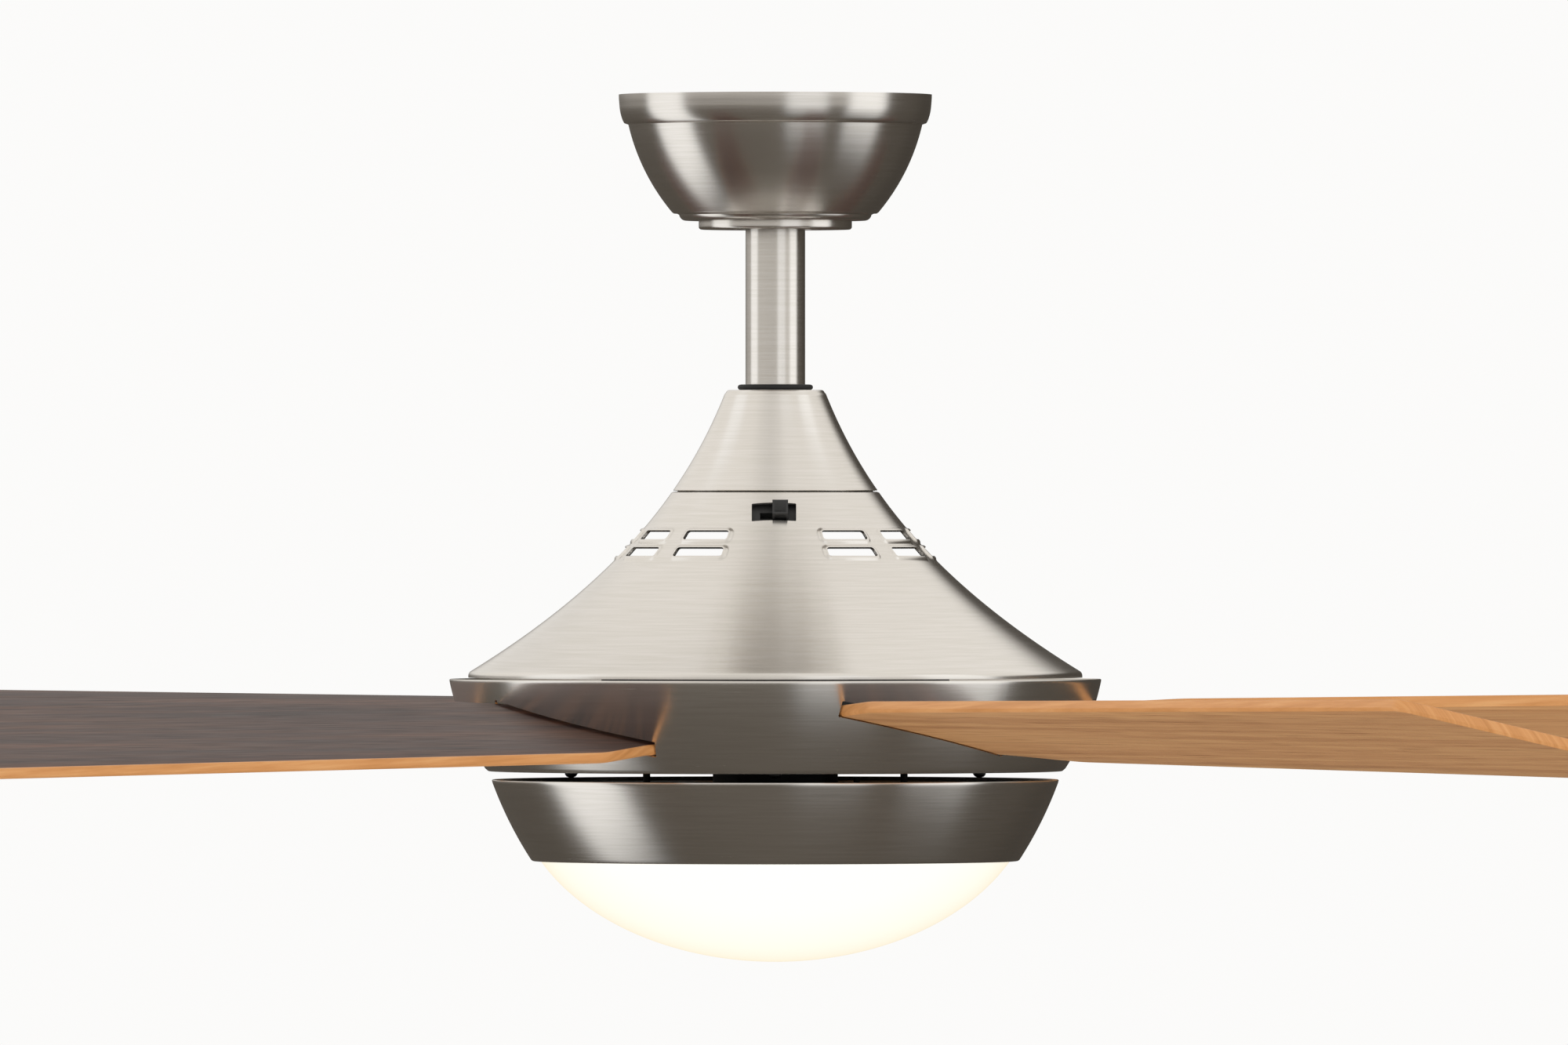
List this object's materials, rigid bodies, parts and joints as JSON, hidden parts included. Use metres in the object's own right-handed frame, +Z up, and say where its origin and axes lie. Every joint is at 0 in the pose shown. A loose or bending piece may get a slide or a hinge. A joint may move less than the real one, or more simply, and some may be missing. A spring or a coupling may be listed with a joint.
{
  "type": "ceiling fan with light",
  "caption": "Ceiling fan on a downrod: flared motor housing, pitched wooden blades through a turning band, a reverse switch and a round glass bowl light below.",
  "frame": {"origin": "centre of the ceiling bracket's top face, at the ceiling", "axes": "+Z up into the ceiling along the downrod, +X along the line of the two bracket slots, -Y towards the reverse switch"},
  "size_m": [1.2831, 1.2611, 0.3882],
  "materials": {
    "satin_nickel": "satin nickel plate on steel, brushed round the axis",
    "zinc_steel": "zinc plated pressing",
    "bright_steel": "plain bright steel",
    "green_steel": "green earth screw",
    "black_steel": "black painted steel",
    "lamination_steel": "stacked electrical steel",
    "copper": "enamelled copper wire",
    "cast_aluminium": "die-cast aluminium, as cast",
    "blade_wood": "veneered board, dark walnut above and light oak below",
    "black_plastic": "black moulded plastic",
    "white_plastic": "white moulded plastic",
    "black_rubber": "black rubber",
    "white_ceramic": "white glazed lamp socket",
    "lamp_glow": "frosted lamp, lit",
    "opal_glass": "frosted opal glass, lit from inside"
  },
  "bodies": {
    "ceiling_mount": {"hanger_bracket": "zinc_steel", "canopy": "satin_nickel", "trim_ring": "satin_nickel", "canopy_screws": "zinc_steel", "receiver": "white_plastic", "ground_screw": "green_steel"},
    "swing_pin": {"hanger_pin": "bright_steel"},
    "fan_body": {"hanger_ball": "zinc_steel", "ball_set_screw": "bright_steel", "downrod": "satin_nickel", "rod_collar": "black_rubber", "coupling_cover": "satin_nickel", "coupling_yoke": "zinc_steel", "clevis_pin": "bright_steel", "cotter_pin": "bright_steel", "yoke_set_screws": "bright_steel", "motor_shaft": "bright_steel", "shaft_circlips": "black_steel", "motor_housing": "satin_nickel", "housing_screws": "bright_steel", "switch_body": "black_plastic", "stator_core": "lamination_steel", "stator_windings": "copper", "bearing_inner_races": "bright_steel", "adaptor_plate": "black_steel", "shaft_nuts": "bright_steel", "light_neck": "black_steel", "pan_screws": "black_steel", "light_pan": "satin_nickel", "pan_plate": "black_steel", "earth_screw": "black_steel", "lamp_bracket": "zinc_steel", "lamp_sockets": "white_ceramic", "lamps": "lamp_glow"},
    "reverse_knob": {"switch_knob": "black_plastic"},
    "rotor": {"bearing_outer_races": "bright_steel", "bearing_balls": "bright_steel", "rotor_upper_shell": "cast_aluminium", "rotor_lower_shell": "cast_aluminium", "rotor_cage": "lamination_steel", "shell_screws": "bright_steel", "blade_hub": "cast_aluminium", "hub_screws": "bright_steel", "blade_1": "blade_wood", "blade_2": "blade_wood", "blade_3": "blade_wood", "blade_4": "blade_wood", "blade_5": "blade_wood", "blade_screws": "bright_steel", "band": "satin_nickel", "band_screws": "black_steel"},
    "bowl": {"glass_bowl": "opal_glass", "bowl_ring": "zinc_steel"}
  },
  "joints": [
    {"name": "swing_side", "type": "hinge", "parent": "ceiling_mount", "child": "swing_pin", "pos_m": [0, 0, -0.03588], "axis": [0, 1, 0], "range_deg": [-3, 3]},
    {"name": "swing_front", "type": "hinge", "parent": "swing_pin", "child": "fan_body", "pos_m": [0, 0, -0.03588], "axis": [1, 0, 0], "range_deg": [-3, 3]},
    {"name": "rotor_spin", "type": "hinge", "parent": "fan_body", "child": "rotor", "pos_m": [0, 0, -0.26], "axis": [0, 0, 1], "continuous": true},
    {"name": "reverse_switch", "type": "slide", "parent": "fan_body", "child": "reverse_knob", "axis": [1, 0, 0], "range_m": [-0.0056, 0]},
    {"name": "bowl_twist", "type": "hinge", "parent": "fan_body", "child": "bowl", "pos_m": [0, 0, -0.343], "axis": [0, 0, 1], "range_deg": [0, 25]}
  ]
}
